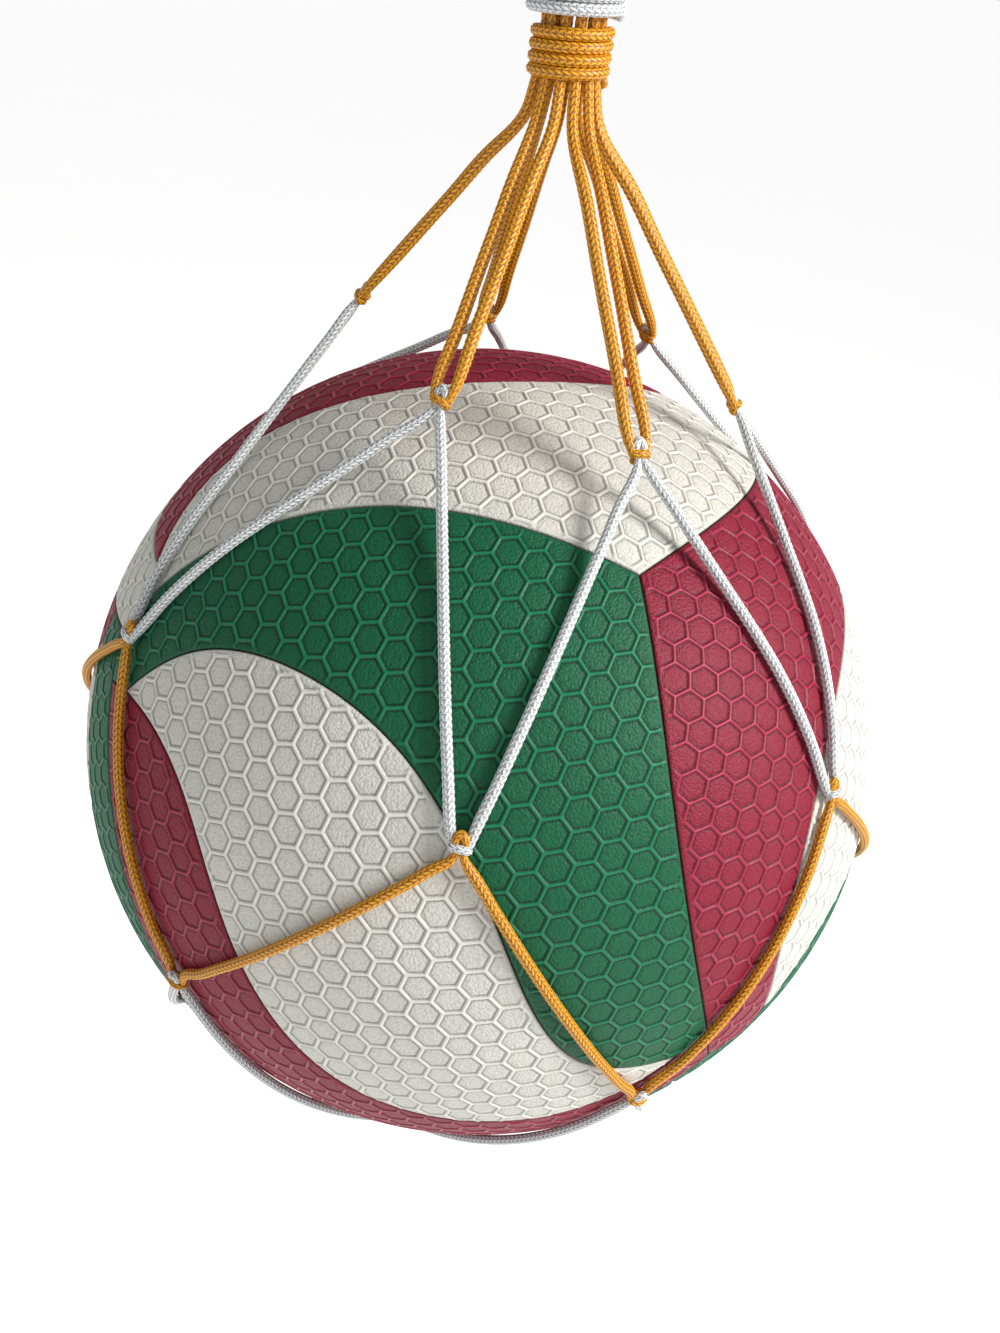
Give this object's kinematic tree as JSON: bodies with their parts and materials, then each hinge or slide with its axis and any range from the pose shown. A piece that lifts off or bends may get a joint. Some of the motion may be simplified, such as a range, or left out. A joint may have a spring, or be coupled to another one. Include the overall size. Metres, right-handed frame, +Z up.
{
  "type": "mesh ball bag",
  "caption": "Knotted cord net bag with a gathered mouth, sliding ring and carry loop, holding a panelled volleyball that turns inside it.",
  "frame": {"origin": "inside top of the carry loop, where a hook or a finger holds the bag", "axes": "+Z up along the plumb line through the gather and the ball's centre; +Y goes through the eye of the loop, away from the front of the ball"},
  "size_m": [0.2161, 0.21, 0.4005],
  "materials": {
    "amber_cord": "braided cord, slight sheen",
    "white_cord": "braided cord, silky sheen",
    "leatherette_green": "hexagon embossed, satin",
    "leatherette_red": "hexagon embossed, satin",
    "leatherette_white": "hexagon embossed, satin",
    "wound_thread": "matte wound thread",
    "black_rubber": "matte"
  },
  "bodies": {
    "carry_loop": {"gather_knot": "amber_cord", "carry_loop_strand_1": "amber_cord", "carry_loop_strand_2": "amber_cord", "carry_loop_strand_3": "amber_cord", "carry_loop_strand_4": "amber_cord", "carry_loop_strand_5": "amber_cord", "carry_loop_strand_6": "amber_cord"},
    "gather_ring": {"gather_ring": "white_cord"},
    "net": {"mouth_cord_1": "amber_cord", "mouth_cord_2": "amber_cord", "mouth_cord_3": "amber_cord", "mouth_cord_4": "amber_cord", "mouth_cord_5": "amber_cord", "mouth_cord_6": "amber_cord", "upper_mesh_cord_1": "white_cord", "upper_mesh_cord_2": "white_cord", "upper_mesh_cord_3": "white_cord", "upper_mesh_cord_4": "white_cord", "upper_mesh_cord_5": "white_cord", "upper_mesh_cord_6": "white_cord", "middle_mesh_cord_1": "amber_cord", "middle_mesh_cord_2": "amber_cord", "middle_mesh_cord_3": "amber_cord", "middle_mesh_cord_4": "amber_cord", "middle_mesh_cord_5": "amber_cord", "middle_mesh_cord_6": "amber_cord", "lower_mesh_cord_1": "white_cord", "lower_mesh_cord_2": "white_cord", "lower_mesh_cord_3": "white_cord", "lower_mesh_cord_4": "white_cord", "lower_mesh_cord_5": "white_cord", "lower_mesh_cord_6": "white_cord", "base_cords": "amber_cord", "base_ring": "white_cord", "mouth_knots": "amber_cord", "upper_knots": "white_cord", "lower_knots": "amber_cord", "base_knots": "white_cord"},
    "ball": {"front_side_panel_a": "leatherette_green", "front_leaf_panel": "leatherette_white", "front_side_panel_b": "leatherette_red", "top_side_panel_a": "leatherette_white", "top_leaf_panel": "leatherette_red", "top_side_panel_b": "leatherette_white", "right_side_panel_a": "leatherette_red", "right_leaf_panel": "leatherette_white", "right_side_panel_b": "leatherette_green", "back_side_panel_a": "leatherette_green", "back_leaf_panel": "leatherette_white", "back_side_panel_b": "leatherette_red", "bottom_side_panel_a": "leatherette_green", "bottom_leaf_panel": "leatherette_white", "bottom_side_panel_b": "leatherette_green", "left_side_panel_a": "leatherette_green", "left_leaf_panel": "leatherette_white", "left_side_panel_b": "leatherette_red", "wound_carcass": "wound_thread", "air_bladder": "black_rubber", "valve_plug": "black_rubber"}
  },
  "joints": [
    {"name": "bag_swing", "type": "hinge", "parent": "carry_loop", "child": "net", "pos_m": [0, 0, -0.1166], "axis": [0, 1, 0], "range_deg": [-30, 30]},
    {"name": "ball_turn", "type": "hinge", "parent": "net", "child": "ball", "pos_m": [0, 0, -0.29], "axis": [0, 0, 1], "continuous": true},
    {"name": "ring_slide", "type": "slide", "parent": "carry_loop", "child": "gather_ring", "axis": [0, 0, 1], "range_m": [0, 0.014]}
  ]
}
